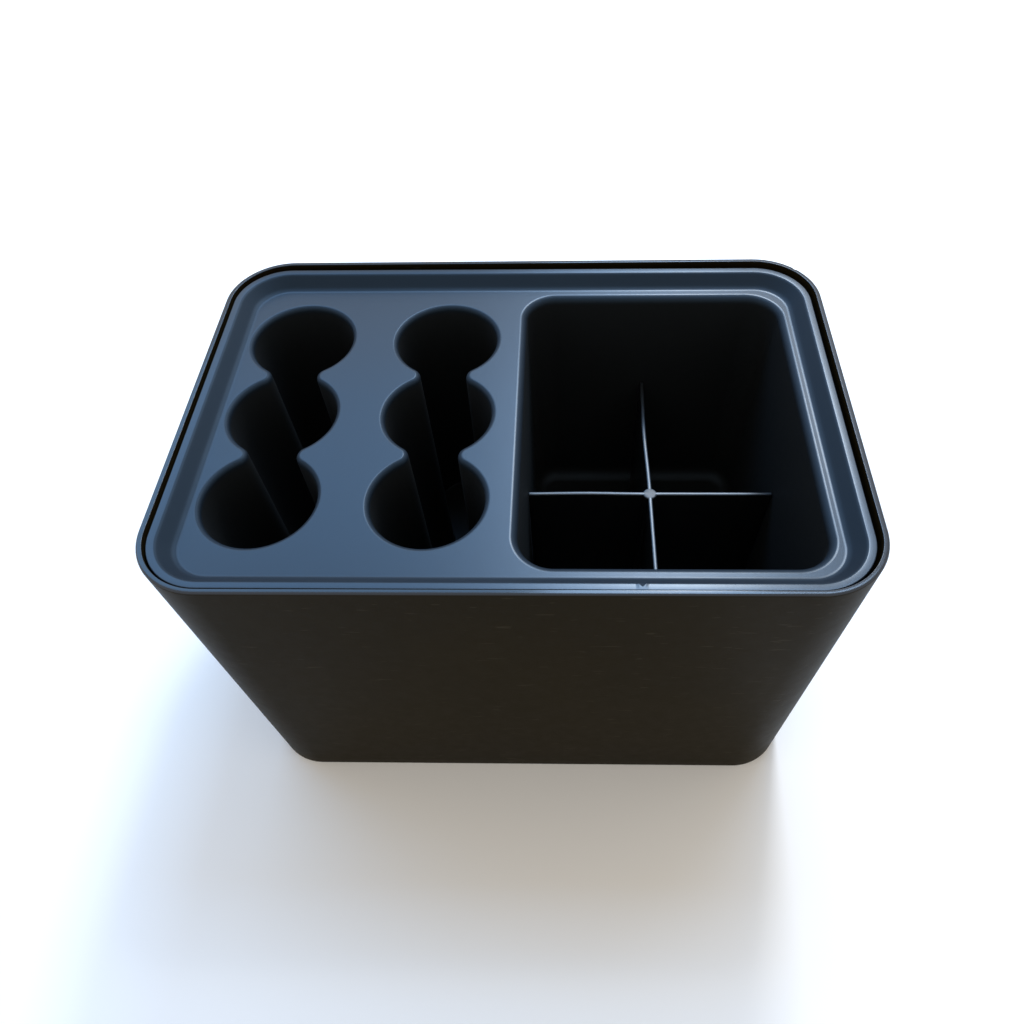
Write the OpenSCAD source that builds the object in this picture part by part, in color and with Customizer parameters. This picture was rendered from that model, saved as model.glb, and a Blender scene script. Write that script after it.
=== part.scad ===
// Desktop caddy: an open moulded shell, a drop-in insert and a loose cross divider.
// Z = 0 is the underside of the shell, the origin is the middle of its base,
// +X runs to the right and +Y to the back. The shell and the insert are one rigid piece
// each. The shell's sides, base and ribs, and the insert's rim, deck, six joined wells and
// bin, are separate solids that meet face to face.

/* [Shell] */
// Width of the shell across its rim
shell_w = 300; // [270:1:360]
// Depth of the shell across its rim, front to back
shell_d = 206; // [192:1:260]
// Height of the shell
shell_h = 193; // [165:1:260]
// Radius of the shell's upright corners at the rim
shell_corner_r = 30.5; // [24:0.5:38]
// Thickness of the shell's walls
shell_wall = 2.5; // [2.1:0.1:3.2]
// Thickness of the shell's floor
shell_floor = 3; // [2:0.1:6]
// How far each wall leans in between the rim and the base
shell_lean = 1.7; // [0:0.1:4]
// Radius of the two edges of the rim
rim_edge_r = 1; // [0.4:0.05:1]
// Radius of the edge round the base
foot_edge_r = 1.5; // [0.5:0.1:1.8]
// Radius between the shell's walls and its floor, inside
shell_floor_r = 4; // [1:0.5:8]

/* [Rest ribs] */
// Thickness of the upright ribs inside the shell that carry the insert
rib_t = 2; // [1.2:0.1:4]
// How far a rib stands in from the wall
rib_reach = 7; // [6.8:0.1:8]
// Distance between the two ribs on the front wall and on the back wall
rib_pitch_long = 150; // [60:1:180]
// Distance between the two ribs on each side wall
rib_pitch_short = 84; // [40:1:110]
// Gap left between the insert's skirt and the top of the ribs
seat_gap = 0.3; // [0.2:0.05:0.6]

/* [Insert rim] */
// How far the top of the insert lies below the shell's rim
lip_below = 1; // [0:0.1:3]
// Play between the shell and the insert on each side, when the insert is centred
insert_play = 2.1; // [1.9:0.1:2.6]
// How far the insert lies off centre towards the left
insert_left = 0.3; // [0:0.1:1.5]
// How far the insert lies off centre towards the front
insert_forward = 1.7; // [0:0.1:1.7]
// Wall thickness of the insert
insert_wall = 2; // [1.6:0.1:2.4]
// Width of the flat lip round the top of the insert
lip_w = 3.6; // [3.2:0.1:5]
// Radius of the lip's outer edge
lip_outer_r = 1.4; // [0.4:0.1:1.5]
// Radius of the lip's inner edge
lip_inner_r = 2; // [0.3:0.1:2.2]
// Width of the sloping band between the lip and the deck
slope_w = 5.4; // [5:0.1:7]
// Depth of the deck below the lip
deck_drop = 6; // [5:0.1:7]
// Radius where the sloping band meets the deck
slope_foot_r = 4; // [2:0.1:4]
// Depth of the insert's outer skirt below the lip
skirt_h = 12; // [9.6:0.5:30]
// Width of the small pointed notch in the front of the lip
notch_w = 3.8; // [2:0.1:6]
// Length of the notch from the lip's inner edge towards its point
notch_l = 2.2; // [1:0.1:2.6]
// Depth of the notch
notch_h = 1.2; // [0.5:0.1:1.5]
// Distance of the notch to the right of the middle of the insert
notch_x = 52.3; // [-100:0.1:100]

/* [Wells] */
// Bore of one well at the deck
well_d = 50.2; // [44:0.1:53]
// Distance between the bores of two neighbouring wells, across the neck that joins them
well_web = 0.2; // [0.1:0.05:2]
// Width of the neck that joins two neighbouring wells
neck_w = 22; // [18:0.5:26]
// Depth of the wells below the deck
well_depth = 136; // [90:1:140]
// How much each well's radius shrinks from the deck to its floor
well_lean = 1; // [0:0.1:1.5]
// Deck between the left sloping band and the left row of wells
well_margin = 3.8; // [3.6:0.1:7]
// Deck between the left and the right row of wells
row_gap = 21.6; // [14:0.1:24]
// How far the middle of the rows lies behind the middle of the deck
rows_back = 0.5; // [-2:0.1:3]
// Radius of the edge where the deck turns down into the wells and the bin
mouth_r = 1.6; // [1:0.1:1.6]

/* [Bin] */
// Deck between the right row of wells and the bin
bin_gap = 13.2; // [8:0.1:20]
// Deck between the bin and the right sloping band
bin_side_margin = 5.8; // [4:0.1:14]
// Deck between the bin and the front sloping band
bin_front_margin = 4.9; // [4:0.1:12]
// Deck between the bin and the back sloping band
bin_back_margin = 6.8; // [4:0.1:14]
// Radius of the bin's upright corners at the deck
bin_corner_r = 15.5; // [10:0.5:24]
// Depth of the bin below the deck
bin_depth = 137; // [100:1:140]
// How far each wall of the bin leans in between the deck and its floor
bin_lean = 1; // [0:0.1:3]
// Radius between the bin's walls and its floor, inside
bin_floor_r = 3; // [1:0.1:5]

/* [Cross divider] */
// Height of the divider
divider_h = 80; // [40:1:90]
// Thickness of its four vanes
vane_t = 2; // [1.2:0.1:4]
// Diameter of the round post where the vanes meet
hub_d = 7; // [4.5:0.1:14]
// Gap left between the divider and the walls and floor of the bin
divider_gap = 0.3; // [0.2:0.05:1]

/* [Hidden] */
$fn = 96;
cut = 1;                                // how far a cutting shape runs past what it cuts
plastic = [0.13, 0.15, 0.18];
divider_plastic = [0.2, 0.23, 0.27];

// The insert, in its own frame: its middle lies at [-insert_left, -insert_forward]
inset = shell_wall + insert_play;
insert_w = shell_w - 2 * inset;
insert_d = shell_d - 2 * inset;
insert_r = shell_corner_r - inset;
band = lip_w + slope_w;
deck_w = insert_w - 2 * band;
deck_d = insert_d - 2 * band;
deck_r = insert_r - band;
lip_z = shell_h - lip_below;
deck_top = lip_z - deck_drop;
deck_under = deck_top - insert_wall;

// The wells
well_r = well_d / 2;
well_pitch = well_d + well_web;
well_floor_z = deck_top - well_depth;
row_x = [-deck_w / 2 + well_margin + well_r, -deck_w / 2 + well_margin + well_r + well_d + row_gap];
// A round post makes each side of a neck. It all but touches the circles of both wells.
post_r = (pow(neck_w / 2, 2) + pow(well_pitch / 2, 2) - pow(well_r, 2)) / (2 * (well_r - neck_w / 2));
post_x = neck_w / 2 + post_r;
post_clear = 0.05;                      // what it stays clear by, so that no two surfaces only touch
// The deck is parted halfway between the two rows, and halfway between the right row and the bin
deck_parting = [row_x[0] + well_r + row_gap / 2, row_x[1] + well_r + bin_gap / 2];

// The bin
bin_left = row_x[1] + well_r + bin_gap;
bin_right = deck_w / 2 - bin_side_margin;
bin_front = -deck_d / 2 + bin_front_margin;
bin_back = deck_d / 2 - bin_back_margin;
bin_w = bin_right - bin_left;
bin_d = bin_back - bin_front;
bin_x = (bin_left + bin_right) / 2;
bin_y = (bin_front + bin_back) / 2;
bin_floor_z = deck_top - bin_depth;

// ---- shapes round a rounded rectangle ----

// Carries a flat profile round a rounded rectangle of width w, depth d and corner radius r.
// The profile's x runs outwards from the corner centres, and its y runs up.
module carried_round(w, d, r) {
    x = w / 2 - r;
    y = d / 2 - r;
    for (corner = [[x, y, 0], [-x, y, 90], [-x, -y, 180], [x, -y, 270]])
        translate([corner[0], corner[1], 0])
            rotate([0, 0, corner[2]])
                rotate_extrude(angle = 90)
                    children();
    for (side = [[x, 0, 0, 2 * y], [0, y, 90, 2 * x], [-x, 0, 180, 2 * y], [0, -y, 270, 2 * x]])
        translate([side[0], side[1], 0])
            rotate([90, 0, side[2]])
                linear_extrude(height = side[3], center = true)
                    children();
}

// Upright block with rounded corners
module rounded_block(w, d, r, h) {
    linear_extrude(height = h) {
        square([w - 2 * r, d], center = true);
        square([w, d - 2 * r], center = true);
        for (x = [-1, 1], y = [-1, 1])
            translate([x * (w / 2 - r), y * (d / 2 - r)])
                circle(r);
    }
}

// Profile of a cup's wall, its rounded foot and the start of its floor.
// r is the outer corner radius at the top, and inner_r rounds the inside of the floor.
function floor_edge_x(r, wall, lean, inner_r) = r - lean - wall - inner_r;
module cup_profile(r, h, wall, floor_t, lean, foot_r, inner_r) {
    foot_x = r - lean * (1 - foot_r / h);
    fillet_z = floor_t + inner_r;
    fillet_x = r - lean * (1 - fillet_z / h) - wall - inner_r;
    edge_x = floor_edge_x(r, wall, lean, inner_r);
    polygon([[foot_x - wall, foot_r], [foot_x, foot_r], [r, h], [r - wall, h]]);
    translate([foot_x - foot_r, foot_r])
        circle(foot_r);
    translate([edge_x, 0])
        square([foot_x - foot_r - edge_x, floor_t]);
    translate([edge_x, foot_r])
        square([foot_x - wall / 2 - edge_x, floor_t - foot_r]);
    difference() {
        polygon([[edge_x, floor_t], [foot_x - wall / 2, floor_t], [foot_x - wall / 2, fillet_z],
                 [fillet_x, fillet_z], [edge_x, floor_t + inner_r]]);
        translate([fillet_x, fillet_z])
            circle(inner_r);
        translate([edge_x - cut, floor_t])
            square([fillet_x - edge_x + cut, inner_r + cut]);
    }
}

// ---- shell ----

module shell_profile() {
    top = shell_h - rim_edge_r;
    cup_profile(shell_corner_r, top, shell_wall, shell_floor, shell_lean, foot_edge_r, shell_floor_r);
    for (x = [shell_corner_r - rim_edge_r, shell_corner_r - shell_wall + rim_edge_r])
        translate([x, top])
            circle(rim_edge_r);
    translate([shell_corner_r - shell_wall + rim_edge_r, top - rim_edge_r])
        square([shell_wall - 2 * rim_edge_r, 2 * rim_edge_r]);
}

module shell_sides() {
    color(plastic)
        carried_round(shell_w, shell_d, shell_corner_r)
            shell_profile();
}

// The flat of the floor, inside the rounding at the foot of the sides
module shell_base() {
    floor_in = shell_corner_r - floor_edge_x(shell_corner_r, shell_wall, shell_lean, shell_floor_r);
    color(plastic)
        rounded_block(shell_w - 2 * floor_in, shell_d - 2 * floor_in, shell_corner_r - floor_in, shell_floor);
}

// Inner face of a shell wall at the height z, where the wall's outer face is at x = 0 at the rim
function wall_face(z) = -shell_lean * (1 - z / (shell_h - rim_edge_r)) - shell_wall;

// One rib, standing on the floor and in from a wall towards -x. Its foot follows the
// rounding between the wall and the floor.
module rest_rib() {
    rib_top = lip_z - skirt_h - seat_gap;
    round_z = shell_floor + shell_floor_r;
    round_x = wall_face(round_z) - shell_floor_r;
    rotate([90, 0, 0])
        linear_extrude(height = rib_t, center = true)
            difference() {
                polygon([[wall_face(shell_floor), shell_floor], [wall_face(rib_top), rib_top],
                         [wall_face(rib_top) - rib_reach, rib_top],
                         [wall_face(shell_floor) - rib_reach, shell_floor]]);
                difference() {
                    translate([round_x, shell_floor - cut])
                        square([shell_floor_r + cut, shell_floor_r + cut]);
                    translate([round_x, round_z])
                        circle(shell_floor_r);
                }
            }
}

// Two ribs on one wall, which faces along the angle turn and lies reach from the middle
module rib_pair(turn, reach, pitch) {
    rotate([0, 0, turn])
        for (side = [-1, 1])
            translate([reach, side * pitch / 2, 0])
                rest_rib();
}

module rest_ribs() {
    color(plastic) {
        for (turn = [0, 180])
            rib_pair(turn, shell_w / 2, rib_pitch_short);
        for (turn = [90, 270])
            rib_pair(turn, shell_d / 2, rib_pitch_long);
    }
}

// ---- insert ----

module in_insert_place() {
    translate([-insert_left, -insert_forward, 0])
        children();
}

// What comes off the lip's inner edge to round it: the corner outside a circle that touches
// both of its sides. One side leaves the corner at the angle a, and the other is level.
module lip_edge_rounding(corner, a) {
    half = (360 - a) / 2;
    reach = lip_inner_r / tan(half);
    centre = corner + lip_inner_r / sin(half) * [cos(a + half), sin(a + half)];
    difference() {
        polygon([corner, corner + reach * [cos(a), sin(a)], centre, corner + [reach, 0]]);
        translate(centre)
            circle(lip_inner_r);
    }
}

// The lip, the sloping band and the skirt, cut through. Its x runs out from the corner centres.
module lip_profile() {
    top = lip_z;
    lip_x = insert_r - lip_w;
    foot_x = lip_x - slope_w;
    steep = atan(deck_drop / slope_w);
    drop_in = insert_wall / cos(steep);        // the band's thickness measured straight down
    bend_x = lip_x + (drop_in - insert_wall) / tan(steep);
    under_x = lip_x - (deck_drop + insert_wall - drop_in) / tan(steep);
    foot = [foot_x, deck_top];
    half = (180 - steep) / 2;                  // half the angle between the band and the deck
    round_reach = slope_foot_r / tan(half);
    round_centre = foot + slope_foot_r / sin(half) * [cos(steep + half), sin(steep + half)];
    difference() {
        polygon([[insert_r - insert_wall, top - skirt_h], [insert_r, top - skirt_h],
                 [insert_r, top - lip_outer_r], [insert_r - lip_outer_r, top],
                 [lip_x, top], foot + round_reach * [cos(steep), sin(steep)], round_centre,
                 foot - [round_reach, 0], foot, [foot_x, deck_under],
                 [under_x, deck_under], [bend_x, top - insert_wall],
                 [insert_r - insert_wall, top - insert_wall]]);
        translate(round_centre)
            circle(slope_foot_r);
        lip_edge_rounding([lip_x, top], 180 + steep);
    }
    translate([insert_r - lip_outer_r, top - lip_outer_r])
        circle(lip_outer_r);
}

// Small pointed notch in the inner edge of the lip at the front
module lip_notch() {
    lip_edge_y = -insert_d / 2 + lip_w;
    translate([notch_x, lip_edge_y, lip_z - notch_h])
        linear_extrude(height = notch_h + cut)
            polygon([[-notch_w / 2, 0], [0, -notch_l], [notch_w / 2, 0],
                     [notch_w / 2, slope_w], [-notch_w / 2, slope_w]]);
}

// Radius of a well at the height z, and of the posts beside it. A post shrinks as the wells grow.
function well_radius(z) = well_r - well_lean * (deck_under - z) / (deck_under - well_floor_z);
function post_radius(z) = well_r + post_r - post_clear - well_radius(z);

// The four-sided plan that runs between two wells' centres and the two posts' centres
module neck_plan() {
    polygon([[0, -well_pitch / 2], [post_x, 0], [0, well_pitch / 2], [-post_x, 0]]);
}

// The joined wells of one row from the height low to the height high, made larger by grow
module joined_wells(low, high, grow) {
    for (k = [-1, 0, 1])
        translate([0, k * well_pitch, low])
            cylinder(h = high - low, r1 = well_radius(low) + grow, r2 = well_radius(high) + grow);
    for (k = [-1, 1])
        translate([0, k * well_pitch / 2, low])
            difference() {
                linear_extrude(height = high - low)
                    neck_plan();
                for (side = [-1, 1])
                    translate([side * post_x, 0, -cut])
                        cylinder(h = high - low + 2 * cut, r1 = post_radius(low - cut) - grow,
                                 r2 = post_radius(high + cut) - grow);
            }
}

// The openings of one row in the deck, in two steps. First come the necks between the wells,
// whose posts have a rounded upper edge, and then the wells with their flared mouths.
module row_necks() {
    straight = insert_wall - mouth_r;
    for (k = [-1, 1])
        translate([0, k * well_pitch / 2, -cut])
            difference() {
                linear_extrude(height = insert_wall + 2 * cut)
                    neck_plan();
                for (side = [-1, 1])
                    translate([side * post_x, 0, -cut]) {
                        cylinder(h = 2 * cut + straight, r = post_r - post_clear);
                        translate([0, 0, 2 * cut + straight])
                            rotate_extrude()
                                knob_profile(post_r - post_clear);
                    }
            }
}

module row_mouths() {
    for (k = [-1, 0, 1])
        translate([0, k * well_pitch, -cut])
            rotate_extrude()
                flare_profile(well_r);
}

// Half section of a round opening of radius r in the deck, which widens by mouth_r at the top
module flare_profile(r) {
    bend = cut + insert_wall - mouth_r;
    square([r, bend]);
    translate([0, bend])
        difference() {
            square([r + mouth_r, mouth_r]);
            translate([r + mouth_r, 0])
                circle(mouth_r);
        }
    translate([0, bend + mouth_r])
        square([r + mouth_r, cut]);
}

// Half section of the top of a round post of radius r, whose edge is rounded by mouth_r
module knob_profile(r) {
    square([r - mouth_r, mouth_r + 2 * cut]);
    intersection() {
        translate([r - mouth_r, 0])
            circle(mouth_r);
        square([r, mouth_r]);
    }
}

// The mouth of the bin in the deck
module bin_mouth() {
    straight = insert_wall - mouth_r;
    translate([0, 0, -cut])
        rounded_block(bin_w, bin_d, bin_corner_r, insert_wall + 2 * cut);
    translate([0, 0, straight])
        carried_round(bin_w, bin_d, bin_corner_r)
            difference() {
                translate([bin_corner_r - cut, 0])
                    square([mouth_r + cut, mouth_r]);
                translate([bin_corner_r + mouth_r, 0])
                    circle(mouth_r);
            }
}

module in_row_place(x) {
    translate([x, rows_back, deck_under])
        children();
}

module insert_rim() {
    color(plastic)
        in_insert_place()
            difference() {
                carried_round(insert_w, insert_d, insert_r)
                    lip_profile();
                lip_notch();
            }
}

// The flat plate of the deck between x = left and x = right
module deck_plate(left, right) {
    intersection() {
        translate([0, 0, deck_under])
            rounded_block(deck_w, deck_d, deck_r, insert_wall);
        translate([left, -deck_d, deck_under - cut])
            cube([right - left, 2 * deck_d, insert_wall + 2 * cut]);
    }
}

// One part of the deck, with the openings of the row at x
module row_deck(x, left, right) {
    color(plastic)
        in_insert_place()
            difference() {
                difference() {
                    deck_plate(left, right);
                    in_row_place(x)
                        row_necks();
                }
                in_row_place(x)
                    row_mouths();
            }
}

module deck_right() {
    color(plastic)
        in_insert_place()
            difference() {
                deck_plate(deck_parting[1], deck_w / 2 + cut);
                translate([bin_x, bin_y, deck_under])
                    bin_mouth();
            }
}

// One well of the row at x. Its place in the row is -1, 0 or 1, from the front to the back,
// and it meets its neighbours halfway along the necks.
module well(x, place) {
    reach = well_r + insert_wall + cut;
    front = place * well_pitch - (place == -1 ? reach : well_pitch / 2);
    back = place * well_pitch + (place == 1 ? reach : well_pitch / 2);
    color(plastic)
        in_insert_place()
            translate([x, rows_back, 0])
                intersection() {
                    difference() {
                        joined_wells(well_floor_z - insert_wall, deck_under, insert_wall);
                        joined_wells(well_floor_z, deck_under + cut, 0);
                    }
                    translate([-reach, front, well_floor_z - insert_wall - cut])
                        cube([2 * reach, back - front, well_depth + 2 * cut]);
                }
}

module bin_cup() {
    outer_r = bin_corner_r + insert_wall;
    outer_w = bin_w + 2 * insert_wall;
    outer_d = bin_d + 2 * insert_wall;
    floor_in = outer_r - floor_edge_x(outer_r, insert_wall, bin_lean, bin_floor_r);
    color(plastic)
        in_insert_place()
            translate([bin_x, bin_y, bin_floor_z - insert_wall]) {
                carried_round(outer_w, outer_d, outer_r)
                    cup_profile(outer_r, deck_under - bin_floor_z + insert_wall, insert_wall, insert_wall,
                                bin_lean, insert_wall / 2, bin_floor_r);
                rounded_block(outer_w - 2 * floor_in, outer_d - 2 * floor_in, outer_r - floor_in,
                              insert_wall);
            }
}

// ---- cross divider ----

// One vane pair, upright along x, for a bin that is size wide at the deck. Its ends follow
// the lean of the bin's walls, and its lower corners clear the rounding of the bin's floor.
module vane_pair(size) {
    low = size / 2 - bin_lean - divider_gap;
    corner_z = bin_floor_r;
    wall_h = bin_depth - insert_wall;
    corner_x = low + bin_lean * corner_z / wall_h;
    top_x = low + bin_lean * divider_h / wall_h;
    rotate([90, 0, 0])
        linear_extrude(height = vane_t, center = true)
            polygon([[-low + corner_z, 0], [low - corner_z, 0], [corner_x, corner_z], [top_x, divider_h],
                     [-top_x, divider_h], [-corner_x, corner_z]]);
}

module cross_divider() {
    color(divider_plastic)
        in_insert_place()
            translate([bin_x, bin_y, bin_floor_z + divider_gap]) {
                vane_pair(bin_w);
                rotate([0, 0, 90])
                    vane_pair(bin_d);
                cylinder(h = divider_h, r = hub_d / 2);
            }
}

shell_sides();
shell_base();
rest_ribs();
insert_rim();
row_deck(row_x[0], -deck_w / 2 - cut, deck_parting[0]);  // deck_left
row_deck(row_x[1], deck_parting[0], deck_parting[1]);  // deck_middle
deck_right();
well(row_x[0], -1);  // well_left_front
well(row_x[0], 0);  // well_left_middle
well(row_x[0], 1);  // well_left_back
well(row_x[1], -1);  // well_right_front
well(row_x[1], 0);  // well_right_middle
well(row_x[1], 1);  // well_right_back
bin_cup();
cross_divider();
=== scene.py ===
"""Looks of the desktop caddy: a shell, a drop-in insert and a loose cross divider, all of
black moulded plastic. The frame is in metres: +X to the right, +Y to the back, and Z = 0 on
the table. Sizes below are in millimetres, as in the part's source, and become metres when a
mesh is made.
"""

import math

import bpy
import numpy as np
from mathutils import Matrix, Vector
from mathutils.geometry import tessellate_polygon


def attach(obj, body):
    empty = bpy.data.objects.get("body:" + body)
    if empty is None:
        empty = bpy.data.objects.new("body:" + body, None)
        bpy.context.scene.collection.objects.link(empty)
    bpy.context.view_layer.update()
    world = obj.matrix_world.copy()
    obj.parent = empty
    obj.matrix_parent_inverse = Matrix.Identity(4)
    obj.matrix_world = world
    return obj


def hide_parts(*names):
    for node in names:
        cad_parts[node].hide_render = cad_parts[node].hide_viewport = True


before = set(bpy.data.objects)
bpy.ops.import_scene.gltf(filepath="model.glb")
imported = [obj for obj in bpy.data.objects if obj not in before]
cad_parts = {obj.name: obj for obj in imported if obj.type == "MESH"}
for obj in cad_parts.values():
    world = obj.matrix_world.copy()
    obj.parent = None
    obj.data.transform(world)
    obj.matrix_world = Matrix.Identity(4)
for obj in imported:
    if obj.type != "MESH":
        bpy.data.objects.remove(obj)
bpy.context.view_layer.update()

MM = 0.001

# ---- sizes of the object, in millimetres ----

SHELL_W, SHELL_D, SHELL_H = 300.0, 206.0, 193.0
SHELL_CORNER, SHELL_WALL, SHELL_FLOOR, SHELL_LEAN = 30.5, 2.5, 3.0, 1.7
RIM_OUTER, RIM_INNER, FOOT_EDGE, SHELL_FLOOR_R = 1.0, 0.25, 1.5, 4.0

INSET = SHELL_WALL + 2.1                       # from the shell's rim to a centred insert
INSERT_X, INSERT_Y = -0.3, -1.7                # where the insert lies
INSERT_W, INSERT_D = SHELL_W - 2 * INSET, SHELL_D - 2 * INSET
INSERT_CORNER, INSERT_WALL = SHELL_CORNER - INSET, 2.0
LIP_Z = SHELL_H - 1.0                          # the insert's top lies a little below the shell's rim
LIP_W, LIP_OUTER, LIP_INNER, LIP_LEAN = 3.6, 0.45, 1.6, 0.28
SLOPE_W, DECK_DROP, SLOPE_FOOT, SKIRT = 5.4, 6.0, 4.2, 12.0
FRONT_SHARE = 0.86                             # the band's width at the front, as a share of SLOPE_W
DECK_Z = LIP_Z - DECK_DROP
SETTLE = (0.15, -0.0029)                       # rise at x = 0 and slope: the insert lies lower on its right
NOTCH_W, NOTCH_L, NOTCH_H, NOTCH_X = 3.8, 2.2, 1.2, 52.3

WELL_R, WELL_PITCH, WELL_DEPTH, WELL_LEAN = 24.6, 50.4, 136.0, 0.8
ROW_X, ROW_Y = (-107.5, -35.7), 0.5            # rows of wells, from the middle of the insert
NECK = 11.0                                    # half the width of a neck between two wells
POST_R = (NECK ** 2 + WELL_PITCH ** 2 / 4 - WELL_R ** 2) / (2 * (WELL_R - NECK))
POST_X = NECK + POST_R                         # a round post stands on each side of a neck
WELL_MOUTH, BIN_MOUTH = 2.3, 3.4               # rounding of the deck's edge round the openings
BORDER = 0.05                                  # thin flat ring kept round each opening and inside the rim
BIN_X, BIN_Y, BIN_W, BIN_D = 66.6, -0.65, 126.6, 165.3
BIN_CORNER, BIN_DEPTH, BIN_LEAN, BIN_FLOOR_R = 15.0, 137.0, 0.8, 7.0
WELL_FLOOR_R, WELL_FOOT_R, BIN_FOOT_R = 1.0, 0.6, 1.0
DIVIDER_H, VANE_T, HUB_R, DIVIDER_GAP = 80.0, 2.0, 3.5, 0.3

# ---- outlines ----
# An outline is a closed flat curve that runs anticlockwise, as two arrays of equal length:
# its points, and at each point the unit normal that leads away from the inside.


def arc(centre, radius, start, stop, steps, inward=False):
    """Part of an outline: centre + radius (cos a, sin a), with the angle a going in equal steps
    from start up to, but not at, stop, in degrees. The normals point away from the centre, or
    towards it if inward."""
    a = np.radians(start + (stop - start) * np.arange(steps) / steps)
    spoke = np.stack([np.cos(a), np.sin(a)], axis=1)
    return np.array(centre) + radius * spoke, -spoke if inward else spoke


def joined(parts):
    """One outline from its parts, end to end."""
    return tuple(np.concatenate(arrays) for arrays in zip(*parts))


def straight(start, stop, shares):
    """Part of an outline: points at the given shares of the way from start to stop. The normal is
    the direction of travel turned a quarter clockwise."""
    start, stop = np.array(start), np.array(stop)
    along = (stop - start) / np.linalg.norm(stop - start)
    shares = np.asarray(shares)[:, None]
    points = start + shares * (stop - start)
    return points, np.broadcast_to([along[1], -along[0]], points.shape)


def rounded_rectangle(width, depth, radius, centre=(0, 0), front_extra=(), corner_angles=None,
                      corner_steps=22, spacing=7.0):
    """Rounded rectangle: a quarter arc at each corner and a straight side after each arc. The front
    side also gets points at the x positions front_extra, and corner_angles replaces the equal steps
    of the back right corner."""
    x, y = width / 2 - radius, depth / 2 - radius
    corners = [(x, y), (-x, y), (-x, -y), (x, -y)]
    parts = []
    for k, corner in enumerate(corners):
        if k == 0 and corner_angles is not None:
            a = np.radians(corner_angles)
            spoke = np.stack([np.cos(a), np.sin(a)], axis=1)
            parts.append((np.array(corner) + radius * spoke, spoke))
        else:
            parts.append(arc(corner, radius, 90 * k, 90 * k + 90, corner_steps))
        turn = math.radians(90 * k + 90)
        reach = radius * np.array([math.cos(turn), math.sin(turn)])
        start, stop = np.array(corner) + reach, np.array(corners[(k + 1) % 4]) + reach
        length = np.linalg.norm(stop - start)
        shares = np.linspace(0, 1, int(length / spacing) + 2)[:-1]
        if k == 2 and len(front_extra):
            extra = (np.array(front_extra) - start[0]) / (stop[0] - start[0])
            far = np.min(np.abs(shares[:, None] - extra), axis=1) > 2.0 / length
            shares = np.sort(np.concatenate([shares[far | (shares == 0)], extra]))
        parts.append(straight(start, stop, shares))
    points, normals = joined(parts)
    return points + np.array(centre), normals


def row_outline(centre, steps=5.0):
    """Outline of three round wells in a row, joined by necks: an arc of each well, and between two
    wells the facing arc of a round post on either side, each touching the next. Its normals point
    away from a well's centre and towards a post's."""
    x, y = centre
    lean = math.degrees(math.atan2(WELL_PITCH / 2, POST_X))
    wells = [(x, y + k * WELL_PITCH) for k in (-1, 0, 1)]
    posts = [(x + side * POST_X, y + k * WELL_PITCH / 2)
             for side, k in ((1, -1), (1, 1), (-1, 1), (-1, -1))]

    def well(k, start, stop):
        return arc(wells[k], WELL_R, start, stop, int((stop - start) / steps))

    def post(k, start, stop):
        return arc(posts[k], POST_R, start, stop, 12, inward=True)

    return joined([
        well(0, 180 - lean, 360 + lean), post(0, 180 + lean, 180 - lean),
        well(1, -lean, lean), post(1, 180 + lean, 180 - lean),
        well(2, -lean, 180 + lean), post(2, lean, -lean),
        well(1, 180 - lean, 180 + lean), post(3, lean, -lean),
    ])


def rows_of(outline, offsets, heights):
    """Rows of points: the outline moved out along its normals by each offset, at each height. A row
    of offsets gives every point of the outline its own."""
    points, normals = outline
    offsets = np.asarray(offsets, float).reshape(len(heights), -1)
    flat = points[None] + offsets[..., None] * normals[None]
    z = np.broadcast_to(np.asarray(heights, float)[:, None, None], flat.shape[:2] + (1,))
    return np.concatenate([flat, z], axis=2)


def bend(start, stop, steps=7):
    """Angles in radians between two angles in degrees, for a rounded edge."""
    return np.radians(np.linspace(start, stop, steps))


# ---- meshes ----

MERGE_M = 2e-6                                 # points nearer than this, in metres, become one


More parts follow.
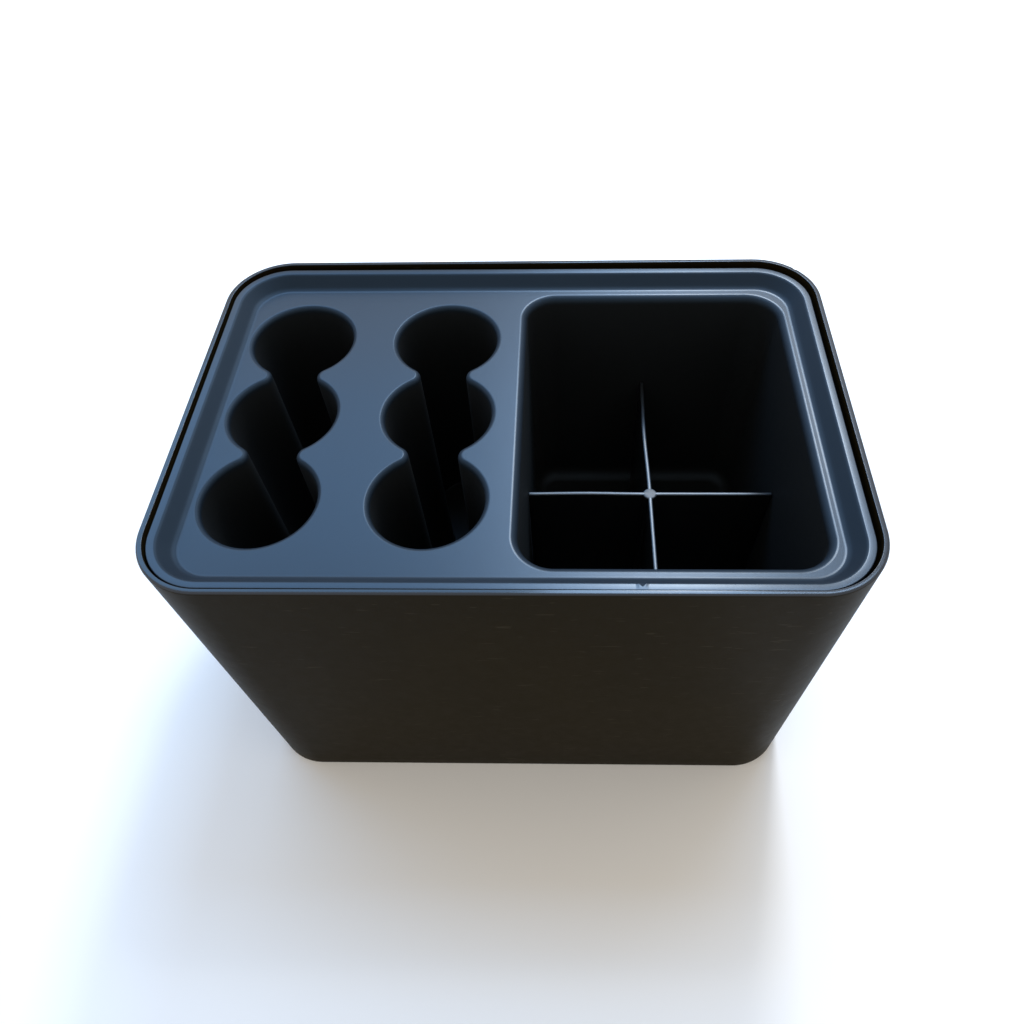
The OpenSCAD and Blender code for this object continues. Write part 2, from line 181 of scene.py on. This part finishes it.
class Skin:
    """Gathers patches of one closed surface. Each patch faces outwards: rows run anticlockwise, and
    each next row lies to the left of the one before, seen from outside with the first row level."""

    def __init__(self):
        self.points, self.faces, self.count = [], [], 0

    def add(self, points, faces):
        self.points.append(points)
        self.faces += (faces + self.count).tolist()
        self.count += len(points)

    def wrap(self, rows):
        """Four-sided faces between neighbouring rows, closed all the way round."""
        high, wide = rows.shape[:2]
        k, i = np.meshgrid(np.arange(high - 1), np.arange(wide), indexing="ij")
        j = (i + 1) % wide
        faces = np.stack([k * wide + i, k * wide + j, (k + 1) * wide + j, (k + 1) * wide + i], axis=-1)
        self.add(rows.reshape(-1, 3), faces.reshape(-1, 4))

    def flat(self, loops, up):
        """A level patch inside the first loop and outside the others, facing up or down."""
        points = np.concatenate(loops)
        triangles = np.array(tessellate_polygon([[Vector(p) for p in loop] for loop in loops]))
        a, b, c = (points[triangles[:, k], :2] for k in range(3))
        turn = (b[:, 0] - a[:, 0]) * (c[:, 1] - a[:, 1]) - (b[:, 1] - a[:, 1]) * (c[:, 0] - a[:, 0])
        wrong = (turn > 0) != up
        triangles[wrong] = triangles[wrong][:, ::-1]
        self.add(points, triangles)

    def mesh(self, name, settle=(0, 0), sharp=38):
        """The finished object, in metres, with its patches merged and its edges sharp past an angle.
        It is raised by settle[0] plus settle[1] times x."""
        points = np.concatenate(self.points)
        points[:, 2] += settle[0] + settle[1] * points[:, 0]
        data = bpy.data.meshes.new(name)
        data.from_pydata((points * MM).tolist(), [], self.faces)
        data.validate()
        piece = bpy.data.objects.new(name, data)
        bpy.context.scene.collection.objects.link(piece)
        merge = piece.modifiers.new("merge", "WELD")
        merge.merge_threshold = MERGE_M
        graph = bpy.context.evaluated_depsgraph_get()
        merged = bpy.data.meshes.new_from_object(piece.evaluated_get(graph))
        piece.modifiers.clear()
        piece.data = merged
        merged.name = name
        merged.polygons.foreach_set("use_smooth", np.ones(len(merged.polygons), bool))
        merged.set_sharp_from_angle(angle=math.radians(sharp))
        return piece


# ---- shell ----

NICK_X, NICK_Y = 140.0, 94.0                   # small nick in the rim at the back right corner
NICK_WIDE, NICK_DEEP = 0.9, 0.45


def shell():
    """The shell: one profile carried round a rounded rectangle. It runs out under the base, round
    the foot, up the leaning side, over the rim, down inside and round onto the floor."""
    fine = np.concatenate([np.arange(0, 39, 4), np.arange(40, 52, 0.75), np.arange(54, 90, 4)])
    outline = rounded_rectangle(SHELL_W, SHELL_D, SHELL_CORNER, corner_angles=fine)
    top = SHELL_H - RIM_OUTER

    def side(z):
        """How far the outer face lies out at the height z, from its place at the rim."""
        return -SHELL_LEAN * (1 - np.asarray(z) / top)

    foot = bend(-90, 0)
    over = bend(0, 90)
    inner = bend(90, 180)
    floor_round = bend(0, -90)
    fillet_z = SHELL_FLOOR + SHELL_FLOOR_R
    fillet_x = side(fillet_z) - SHELL_WALL - SHELL_FLOOR_R
    foot_x = side(FOOT_EDGE) - FOOT_EDGE
    wall_z = np.concatenate([np.linspace(fillet_z + 1, top - 1.5, 16), [top - 0.4]])
    offsets = np.concatenate([
        [foot_x - 1], foot_x + FOOT_EDGE * np.cos(foot), side(wall_z),
        RIM_OUTER * (np.cos(over) - 1), RIM_INNER * (1 + np.cos(inner)) - SHELL_WALL,
        side(wall_z[::-1]) - SHELL_WALL, fillet_x + SHELL_FLOOR_R * np.cos(floor_round), [fillet_x - 1]])
    heights = np.concatenate([
        [0], FOOT_EDGE + FOOT_EDGE * np.sin(foot), wall_z,
        top + RIM_OUTER * np.sin(over), SHELL_H + RIM_INNER * (np.sin(inner) - 1),
        wall_z[::-1], fillet_z + SHELL_FLOOR_R * np.sin(floor_round), [SHELL_FLOOR]])
    rows = rows_of(outline, offsets, heights)
    far = np.hypot(rows[..., 0] - NICK_X, rows[..., 1] - NICK_Y) / NICK_WIDE
    rows[..., 2] -= NICK_DEEP * np.exp(-far ** 2) * np.clip((rows[..., 2] - top + 2) / 3, 0, 1)
    skin = Skin()
    skin.wrap(rows)
    skin.flat([rows[0]], up=False)
    skin.flat([rows[-1]], up=True)
    return skin.mesh("shell")


# ---- insert ----

LIP_TURN = 5                                   # points round the lip's inner edge
NOTCH_WALL = 0.25                              # the notch's upright wall, as a share of its depth


def notch_columns():
    """Where the rim's outline has points for the notch in the lip: on each side of its two ends, at
    its point and between."""
    half = NOTCH_W / 2
    ends = [half + 1e-4, half + 0.5, half + 1.5]
    shares = [-1, -0.6, -0.3, 0, 0.3, 0.6, 1]
    return NOTCH_X + np.concatenate([-np.array(ends[::-1]), np.array(shares) * half, ends])


def rim_rows():
    """The insert's rim as rows: out under the sloping band and the lip, down inside the skirt, up
    outside it, over the lip and down the sloping band to the deck. The band is narrower
    towards the front, by the square of how far its wall faces that way. In the notch's columns the
    rows at the lip's inner edge go to the notch's low wall and its sloping floor."""
    outline = rounded_rectangle(INSERT_W, INSERT_D, INSERT_CORNER, centre=(INSERT_X, INSERT_Y),
                                front_extra=notch_columns() + INSERT_X)
    steep = math.atan2(DECK_DROP, SLOPE_W)
    lip_x, foot_x = -LIP_W, -LIP_W - SLOPE_W
    down = INSERT_WALL / math.cos(steep)           # the band's thickness measured straight down
    bend_x = lip_x + (down - INSERT_WALL) / math.tan(steep)
    under_x = lip_x - (DECK_DROP + INSERT_WALL - down) / math.tan(steep)
    under_z = LIP_Z - INSERT_WALL
    low = LIP_Z - SKIRT
    over = bend(0, 90, 9)
    edge_x = lip_x + LIP_INNER * math.tan(steep / 2)
    edge = np.linspace(0, steep, LIP_TURN)
    deck_x = foot_x - SLOPE_FOOT * math.tan(steep / 2)
    foot = np.linspace(steep, 0, 8)
    slope = np.array([NOTCH_H, 0.4 * DECK_DROP, 0.6 * DECK_DROP])
    offsets = np.concatenate([
        [under_x - BORDER, under_x, bend_x, -INSERT_WALL, -INSERT_WALL, 0],
        LIP_OUTER * (np.cos(over) - 1), [edge_x + 0.15], edge_x - LIP_INNER * np.sin(edge),
        lip_x - slope * SLOPE_W / DECK_DROP, deck_x + SLOPE_FOOT * np.sin(foot), [deck_x - BORDER]])
    heights = np.concatenate([
        [DECK_Z - INSERT_WALL, DECK_Z - INSERT_WALL, under_z, under_z, low, low],
        LIP_Z + LIP_OUTER * (np.sin(over) - 1), [LIP_Z], LIP_Z - LIP_INNER * (1 - np.cos(edge)),
        LIP_Z - slope, DECK_Z + SLOPE_FOOT * (1 - np.cos(foot)), [DECK_Z]])
    on_top = np.arange(len(heights)) >= 6
    heights -= LIP_LEAN * on_top * np.interp(offsets, [foot_x, lip_x, -LIP_OUTER, 0], [0, 1, 0, 0])
    points, normals = outline
    narrower = (1 - FRONT_SHARE) * SLOPE_W * np.clip(-normals[:, 1], 0, 1) ** 2
    offsets = offsets[:, None] + narrower * np.clip((lip_x - offsets[:, None]) / SLOPE_W, 0, 1)
    rows = rows_of(outline, offsets, heights)

    away = np.abs(points[:, 0] - INSERT_X - NOTCH_X)
    in_notch = (away < NOTCH_W / 2 + 5e-5) & (points[:, 1] < 0)
    first = 6 + len(over)
    wall_x = lip_x + NOTCH_L * (1 - away[in_notch] / (NOTCH_W / 2))
    floor_x = lip_x - NOTCH_H * SLOPE_W / DECK_DROP
    shares = np.linspace(0, 1, LIP_TURN)[:-1, None]
    fall = NOTCH_WALL + (1 - NOTCH_WALL) * shares[:, 0]
    notch_x = np.concatenate([[wall_x + 0.08, wall_x], wall_x + shares * (floor_x - wall_x)])
    notch_z = LIP_Z - NOTCH_H * np.concatenate([[0, 0], fall])
    cut = points[in_notch][None] + notch_x[..., None] * normals[in_notch][None]
    rows[first:first + LIP_TURN + 1, in_notch, :2] = cut
    rows[first:first + LIP_TURN + 1, in_notch, 2] = notch_z[:, None]
    return rows


def inside_rows(outline, depth, lean, floor_r, mouth_r):
    """Inside of a well or bin as rows: the rounded mouth, the leaning wall, the rounding at its foot
    and the edge of the floor."""
    under, floor_z = DECK_Z - INSERT_WALL, DECK_Z - depth
    mouth, foot = bend(90, 180), bend(0, -90, 6)
    fillet_z = floor_z + floor_r
    wall_z = np.linspace(DECK_Z - mouth_r - 0.4, fillet_z + 0.4, 14)

    def side(z):
        return -lean * (under - z) / (under - floor_z)

    centre_x = side(fillet_z) - floor_r
    offsets = np.concatenate([
        [mouth_r + BORDER], mouth_r * (1 + np.cos(mouth)), side(wall_z),
        centre_x + floor_r * np.cos(foot), [centre_x - 0.4]])
    heights = np.concatenate([
        [DECK_Z], DECK_Z - mouth_r * (1 - np.sin(mouth)), wall_z,
        fillet_z + floor_r * np.sin(foot), [floor_z]])
    return rows_of(outline, offsets, heights)


def outside_rows(outline, depth, lean, foot_r):
    """Outside of a well or bin as rows: the edge of its underside, the rounded foot and the wall."""
    under, floor_z = DECK_Z - INSERT_WALL, DECK_Z - depth
    low = floor_z - INSERT_WALL
    foot = bend(-90, 0, 6)
    wall_z = np.linspace(low + foot_r + 0.4, under, 10)

    def side(z):
        return INSERT_WALL - lean * (under - z) / (under - floor_z)

    centre_x = side(low + foot_r) - foot_r
    offsets = np.concatenate([[centre_x - 0.4], centre_x + foot_r * np.cos(foot), side(wall_z)])
    heights = np.concatenate([[low], low + foot_r * (1 + np.sin(foot)), wall_z])
    return rows_of(outline, offsets, heights)


def insert():
    """The insert: the rim, the flat deck with its openings, and under each opening the inside and the
    outside of its wells or bin, all one surface."""
    hollows = [(row_outline((INSERT_X + x, INSERT_Y + ROW_Y)), WELL_DEPTH, WELL_LEAN, WELL_FLOOR_R,
                WELL_FOOT_R, WELL_MOUTH) for x in ROW_X]
    bin_outline = rounded_rectangle(BIN_W, BIN_D, BIN_CORNER, centre=(INSERT_X + BIN_X, INSERT_Y + BIN_Y))
    hollows.append((bin_outline, BIN_DEPTH, BIN_LEAN, BIN_FLOOR_R, BIN_FOOT_R, BIN_MOUTH))
    rim = rim_rows()
    insides = [inside_rows(outline, depth, lean, floor_r, mouth_r)
               for outline, depth, lean, floor_r, _, mouth_r in hollows]
    outsides = [outside_rows(outline, depth, lean, foot_r)
                for outline, depth, lean, _, foot_r, _ in hollows]
    skin = Skin()
    skin.wrap(rim)
    skin.flat([rim[-1]] + [rows[0] for rows in insides], up=True)
    skin.flat([rim[0]] + [rows[-1] for rows in outsides], up=False)
    for rows in insides:
        skin.wrap(rows)
        skin.flat([rows[-1]], up=True)
    for rows in outsides:
        skin.wrap(rows)
        skin.flat([rows[0]], up=False)
    return skin.mesh("insert", SETTLE)


# ---- cross divider ----

VANE_EDGE = 0.75                               # rounding of the divider's upper edges
VANE_BOWS = (0.0, 0.7, -0.4, 0.0)              # how far each vane bows to its left, seen from the hub
FLANK = 17                                     # points along each side of a vane
LEVELS = 14                                    # levels of points below the rounded upper edge


def vane_outline():
    """Plan of one vane along +x and of the part of the hub after it, in arrays: how far along the vane
    each point lies as a share, what is added to that, its place across the vane, and its normal. At
    the hub's corners the normal is stretched so that both sides move in equally."""
    half = VANE_T / 2
    hub_x = math.sqrt(HUB_R ** 2 - half ** 2)
    corner = np.array([hub_x / HUB_R, half / HUB_R + 1]) / (1 + half / HUB_R)
    side = np.linspace(0, 1, FLANK + 1)[1:-1]
    share = np.concatenate([[0], side, np.ones(6), side[::-1], [0]])
    end = np.array([-0.5, -0.15, 0, 0, -0.15, -0.5])
    extra = np.concatenate([np.zeros(FLANK), end, np.zeros(FLANK)])
    across = np.concatenate([-np.ones(FLANK), [-1, -0.85, -0.5, 0.5, 0.85, 1], np.ones(FLANK)]) * half
    along_normal = np.concatenate([
        [corner[0]], np.zeros(FLANK - 1), [0, 0.7, 1, 1, 0.7, 0], np.zeros(FLANK - 1), [corner[0]]])
    across_normal = np.concatenate([-np.ones(FLANK), [-1, -0.7, 0, 0, 0.7, 1], np.ones(FLANK)])
    return hub_x, share, extra, across, along_normal, across_normal


def divider():
    """The cross divider: its plan of four vanes and a round hub, carried up. A vane reaches as far as
    the leaning wall of the bin allows at each height, less its lower corner, and bows as a half wave."""
    hub_x, share, extra, across, along_normal, across_normal = vane_outline()
    wall_h = BIN_DEPTH - INSERT_WALL
    over = bend(0, 90, 6)
    height = np.concatenate([
        [0, BIN_FLOOR_R], np.linspace(BIN_FLOOR_R + 4, DIVIDER_H - VANE_EDGE - 0.3, LEVELS - 2),
        DIVIDER_H - VANE_EDGE * (1 - np.sin(over))])[:, None]
    inset = np.concatenate([np.zeros(LEVELS), VANE_EDGE * (np.cos(over) - 1)])[:, None]
    cut = np.maximum(0, BIN_FLOOR_R - height)
    low_angle = math.asin(VANE_T / 2 / HUB_R)
    hub_angle = np.linspace(low_angle, math.pi / 2 - low_angle, 8)[1:-1]
    parts = []
    for k, bow in enumerate(VANE_BOWS):
        reach = (BIN_D if k % 2 else BIN_W) / 2 - BIN_LEAN - DIVIDER_GAP
        end = reach + BIN_LEAN * height / wall_h - cut
        along = hub_x + share * (end - hub_x) + extra + inset * along_normal
        sideways = across + inset * across_normal + bow * np.sin(math.pi * share) ** 2
        along = np.concatenate([along, (HUB_R + inset) * np.cos(hub_angle)], axis=1)
        sideways = np.concatenate([sideways, (HUB_R + inset) * np.sin(hub_angle)], axis=1)
        c, s = round(math.cos(k * math.pi / 2)), round(math.sin(k * math.pi / 2))
        x = along * c - sideways * s + INSERT_X + BIN_X
        y = along * s + sideways * c + INSERT_Y + BIN_Y
        z = np.broadcast_to(height + DECK_Z - BIN_DEPTH + DIVIDER_GAP, x.shape)
        parts.append(np.stack([x, y, z], axis=-1))
    rows = np.concatenate(parts, axis=1)
    skin = Skin()
    skin.wrap(rows)
    skin.flat([rows[0]], up=False)
    skin.flat([rows[-1]], up=True)
    return skin.mesh("divider", SETTLE)


# ---- the pieces ----

shell_piece = shell()
insert_piece = insert()
divider_piece = divider()
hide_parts("shell_sides", "shell_base")
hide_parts("insert_rim", "deck_left", "deck_middle", "deck_right",
            "well_left_front", "well_left_middle", "well_left_back",
            "well_right_front", "well_right_middle", "well_right_back", "bin_cup")
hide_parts("cross_divider")
for piece, body, slot in ((shell_piece, "shell", "shell_plastic"),
                          (insert_piece, "insert", "insert_plastic"),
                          (divider_piece, "divider", "divider_plastic")):
    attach(piece, body)

# ---- finishes ----
# Each pair of heights, in metres, is where a zone begins and where it is full.

HAZE_AND_SHEEN_FROM = (0.1815, 0.1854)                   # haze and painted bluish sheen on the deck, its edges and all above
DECK_FROM, DECK_TO = (0.1848, 0.1859), (0.1862, 0.1874)
LIP_FROM = (0.1909, 0.1916)
RIM_FROM = (0.1922, 0.1928)
VANE_TOP_FROM = (0.1284, 0.1291)
BACK_FROM = (0.08, 0.095)                      # places along Y where the lip's gloss fades
LEVEL_FACE = (0.95, 0.9995)                    # upward parts of a normal, from tilted to level
HUB_X, HUB_Y = (INSERT_X + BIN_X) * MM, (INSERT_Y + BIN_Y) * MM
HUB_EDGE = (0.0027, 0.0033)                    # distances from the middle of the hub
# Places along Y and X where the painted shade on the vanes' upper edges begins and where it is full.
SHADE_BACK, SHADE_RIGHT = (0.040, 0.056), (0.112, 0.124)


class Value:
    """A number or colour somewhere in a material. Arithmetic on it adds Math nodes."""

    def __init__(self, finish, link):
        self.finish, self.link = finish, link

    def math(self, operation, *values):
        return self.finish.node("ShaderNodeMath", {"operation": operation}, dict(enumerate(values)))

    def __add__(self, other):
        return self.math("ADD", self, other)

    def __sub__(self, other):
        return self.math("SUBTRACT", self, other)

    def __rsub__(self, other):
        return self.math("SUBTRACT", other, self)

    def __mul__(self, other):
        return self.math("MULTIPLY", self, other)

    __radd__, __rmul__ = __add__, __mul__

    def distance(self, other):
        """The long side of a right-angled triangle with these two sides."""
        squares = self * self + other * other
        return self.math("SQRT", squares)

    def step(self, low, high):
        """0 at low and 1 at high, smooth between."""
        return self.finish.node("ShaderNodeMapRange", {"interpolation_type": "SMOOTHSTEP"},
                                {"Value": self, "From Min": low, "From Max": high})


class Finish:
    """A material on one Principled BSDF, with the object's own coordinates in metres."""

    def __init__(self, name, **constants):
        self.material = bpy.data.materials.new(name)
        self.material.use_nodes = True
        self.tree = self.material.node_tree
        self.shader = self.tree.nodes["Principled BSDF"]
        for socket, value in constants.items():
            self.shader.inputs[socket.replace("_", " ")].default_value = value
        self.place = self.node("ShaderNodeTexCoord", output="Object")
        self.x, self.y, self.z = (self.node("ShaderNodeSeparateXYZ", inputs={0: self.place}, output=k)
                                  for k in "XYZ")

    def node(self, kind, settings=None, inputs=None, output=0):
        """A new node: its settings first, then a value or a link for each socket."""
        node = self.tree.nodes.new(kind)
        for name, value in (settings or {}).items():
            setattr(node, name, value)
        for name, value in (inputs or {}).items():
            self.feed(node.inputs[name], value)
        return Value(self, node.outputs[output])

    def feed(self, socket, value):
        if isinstance(value, Value):
            self.tree.links.new(value.link, socket)
        else:
            socket.default_value = value

    def set(self, socket, value):
        self.feed(self.shader.inputs[socket], value)

    def noise(self, scale, detail, roughness):
        return self.node("ShaderNodeTexNoise", {}, {
            "Vector": self.place, "Scale": scale, "Detail": detail, "Roughness": roughness})

    def mix(self, share, first, second):
        """The first colour where share is 0 and the second where it is 1."""
        return self.node("ShaderNodeMix", {"data_type": "RGBA"}, {0: share, 6: first, 7: second}, output=2)

    def normal_z(self):
        """How far a face points up: 1 for a level face."""
        normal = self.node("ShaderNodeTexCoord", output="Normal")
        return self.node("ShaderNodeSeparateXYZ", inputs={0: normal}, output="Z")

    def bump(self, height, distance, strength):
        self.set("Normal", self.node("ShaderNodeBump", {}, {
            "Height": height, "Distance": distance, "Strength": strength}))

    def wear(self, piece):
        piece.data.materials.clear()
        piece.data.materials.append(self.material)


def scratches(finish, scale, least, turn, squeeze=0.12, soft=0.05):
    """Fine short marks in one direction: a noise drawn out long, of which only what lies above least
    counts."""
    turned = finish.node("ShaderNodeMapping", {}, {
        "Vector": finish.place, "Rotation": (0, 0, turn), "Scale": (scale * squeeze, scale, scale)})
    marks = finish.node("ShaderNodeTexNoise", {}, {"Vector": turned, "Scale": 1.0, "Detail": 1.0})
    return marks.step(least, least + soft)


def insert_finish():
    """Satin black moulded plastic. Its upper faces carry a bluish haze that is partly real and partly a
    painted reflection of the cool light from above; its level faces have a gloss, and its lip is the most
    polished, less so at the back."""
    f = Finish("insert_black", Specular_IOR_Level=0.31, Specular_Tint=(0.62, 0.82, 1.0, 1),
               Coat_Roughness=0.3, Coat_IOR=1.47)
    level = f.z - SETTLE[1] * f.x
    top = level.step(*HAZE_AND_SHEEN_FROM)
    deck = level.step(*DECK_FROM) * (1 - level.step(*DECK_TO))
    cloud = f.noise(22, 3, 0.55)
    mottle = f.noise(150, 4, 0.6)
    grain = f.noise(2400, 2, 0.5)
    # Base colour: a bluish tint on the deck and all above, partly haze and partly a painted reflection of
    # the cool light from above, with a random cloudy tone.
    haze_and_sheen = top * (0.75 + 0.5 * cloud)
    f.set("Base Color", f.mix(haze_and_sheen, (0.0063, 0.0062, 0.0058, 1), (0.0025, 0.0065, 0.0125, 1)))
    lip = level.step(*LIP_FROM)
    flat = f.normal_z().step(*LEVEL_FACE)
    back = f.y.step(*BACK_FROM)
    f.set("Roughness", 0.54 - 0.22 * flat + 0.08 * mottle + 0.04 * cloud - 0.08 * lip * flat)
    f.set("Coat Weight", (0.47 * deck + 0.58 * lip * (1 - 0.6 * back)) * flat)
    f.bump(grain * 0.6 + mottle * 2.0, 0.00004, 0.5)
    return f


def shell_finish():
    """Black moulded plastic with a fine grain and a few fine marks, warmer and duller than the insert,
    with a polished rim."""
    f = Finish("shell_black", Specular_IOR_Level=0.03, Specular_Tint=(1.0, 0.86, 0.6, 1),
               Coat_Roughness=0.16, Coat_IOR=1.5)
    cloud = f.noise(14, 3, 0.55)
    mottle = f.noise(160, 4, 0.6)
    grain = f.noise(1800, 3, 0.55)
    rim = f.z.step(*RIM_FROM)
    marks = scratches(f, 700, 0.7, 0.5)
    side = f.mix(cloud, (0.0085, 0.006, 0.002, 1), (0.014, 0.01, 0.0035, 1))
    side = f.mix(0.3 * marks, side, (0.05, 0.043, 0.028, 1))
    # The rim's bluish colour is a painted reflection of the cool light from above; its gloss comes from the
    # coat.
    f.set("Base Color", f.mix(rim, side, (0.003, 0.008, 0.015, 1)))
    f.set("Roughness", 0.42 + 0.14 * mottle + 0.06 * cloud)
    f.set("Coat Weight", 0.05 + 0.95 * rim)
    f.bump(grain + mottle * 2.0, 0.00005, 0.6)
    return f


def divider_finish():
    """Satin black plastic of the thin vanes. Their upper edges carry a painted highlight, dimmed at the hub
    and faded by painted shade towards the back and the right."""
    f = Finish("divider_black", Specular_IOR_Level=0.3, Coat_Roughness=0.4, Coat_IOR=1.4)
    # Painted highlight on the vanes' upper edges, faded by painted shade towards the back and the right,
    # and dimmed at the hub.
    shade = f.y.step(*SHADE_BACK) + f.x.step(*SHADE_RIGHT)
    hub = 1 - (f.x - HUB_X).distance(f.y - HUB_Y).step(*HUB_EDGE)
    top = f.z.step(*VANE_TOP_FROM) * (1 - 0.8 * hub) * (1 - 0.8 * shade)
    mottle = f.noise(180, 4, 0.6)
    grain = f.noise(2400, 2, 0.5)
    f.set("Base Color", f.mix(top, (0.0045, 0.005, 0.0055, 1), (0.05, 0.065, 0.08, 1)))
    f.set("Roughness", 0.3 + 0.15 * mottle)
    f.set("Coat Weight", top)
    f.bump(grain + mottle * 2.0, 0.00004, 0.5)
    return f


insert_finish().wear(insert_piece)
divider_finish().wear(divider_piece)
shell_black = shell_finish()
shell_black.wear(shell_piece)
shell_black.wear(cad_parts["rest_ribs"])

# ---- floor, camera and light ----

FLOOR_HALF = 3.0

floor_mesh = bpy.data.meshes.new("table")
floor_mesh.from_pydata([(-FLOOR_HALF, -FLOOR_HALF, 0), (FLOOR_HALF, -FLOOR_HALF, 0),
                        (FLOOR_HALF, FLOOR_HALF, 0), (-FLOOR_HALF, FLOOR_HALF, 0)], [], [(0, 1, 2, 3)])
table = bpy.data.objects.new("table", floor_mesh)
bpy.context.scene.collection.objects.link(table)

IMAGE = 1024
FOCAL_PIXELS = 771.5
CENTRE_X, CENTRE_Y = 544.54, 563.16            # where the line of sight meets the picture
CAMERA_PLACE = (0.0223, -0.2544, 0.4411)
CAMERA_DOWN, CAMERA_ROLL, CAMERA_TURN = 56.197, -2.111, -2.670

down, roll, turn = (math.radians(a) for a in (CAMERA_DOWN, CAMERA_ROLL, CAMERA_TURN))
to_view = (Matrix.Rotation(roll, 3, "Z") @ Matrix.Rotation(down, 3, "X")
           @ Matrix(((1, 0, 0), (0, 0, -1), (0, 1, 0))) @ Matrix.Rotation(turn, 3, "Z"))
lens = bpy.data.cameras.new("view")
lens.sensor_width = 36.0
lens.lens = lens.sensor_width * FOCAL_PIXELS / IMAGE
lens.shift_x = (IMAGE / 2 - CENTRE_X) / IMAGE
lens.shift_y = (CENTRE_Y - IMAGE / 2) / IMAGE
lens.clip_start = 0.01
camera = bpy.data.objects.new("view", lens)
camera.matrix_world = Matrix.Translation(CAMERA_PLACE) @ (
    to_view.transposed() @ Matrix(((1, 0, 0), (0, -1, 0), (0, 0, -1)))).to_4x4()
bpy.context.scene.collection.objects.link(camera)
bpy.context.scene.camera = camera

LIGHT_HEIGHT = 1.2


def softbox(name, centre, size, radiance):
    """A level rectangular lamp that shines down, from its middle and size in plan. Its power is four
    times its area times the brightness of its brightest channel."""
    lamp = bpy.data.lights.new(name, "AREA")
    lamp.shape = "RECTANGLE"
    lamp.size, lamp.size_y = size
    lamp.energy = 4 * size[0] * size[1] * max(radiance)
    lamp.color = [channel / max(radiance) for channel in radiance]
    lamp_object = bpy.data.objects.new(name, lamp)
    lamp_object.location = (*centre, LIGHT_HEIGHT)
    bpy.context.scene.collection.objects.link(lamp_object)


# The parts of the object that each lamp is mirrored in: window, the left of the deck; strip, the deck
# beside the bin; core, the front lip; side, the rim's front right corner; spark, the middle of the front
# rim; right, the far right of the deck.
softbox("window", (-0.9, 0.8), (1.7, 0.8), (0.36, 1.22, 2.5))
softbox("strip", (0.19, 0.78), (0.42, 1.1), (3.3, 5.6, 8.9))
softbox("core", (0.285, 0.83), (0.19, 0.24), (48.0, 46.0, 43.0))
softbox("side", (0.53, 0.465), (0.26, 0.13), (4.5, 6.6, 9.6))
softbox("spark", (0.215, 0.46), (0.11, 0.05), (32.0, 31.0, 29.0))
softbox("right", (0.62, 1.0), (0.34, 0.75), (0.55, 0.7, 0.95))

world = bpy.data.worlds.new("studio")
bpy.context.scene.world = world
world.use_nodes = True
sky_nodes, sky_links = world.node_tree.nodes, world.node_tree.links
rays = sky_nodes.new("ShaderNodeLightPath").outputs


def either(first, second):
    """The greater of two outputs of the world's nodes."""
    greater = sky_nodes.new("ShaderNodeMath")
    greater.operation = "MAXIMUM"
    sky_links.new(first, greater.inputs[0])
    sky_links.new(second, greater.inputs[1])
    return greater.outputs[0]


# White as a background and in reflections, and a softer, warmer fill light on everything else.
tint = sky_nodes.new("ShaderNodeMix")
tint.data_type = "RGBA"
tint.inputs[6].default_value = (0.74, 0.69, 0.62, 1)
tint.inputs[7].default_value = (1, 1, 1, 1)
seen = either(either(rays["Is Camera Ray"], rays["Is Glossy Ray"]), rays["Is Transmission Ray"])
sky_links.new(seen, tint.inputs[0])
sky_links.new(tint.outputs[2], sky_nodes["Background"].inputs["Color"])

floor_finish = Finish("pale_table", Roughness=0.9, Specular_IOR_Level=0.1)
floor_finish.set("Base Color", (0.95, 0.95, 0.95, 1))
floor_finish.wear(table)

bpy.context.scene.view_settings.view_transform = "Standard"
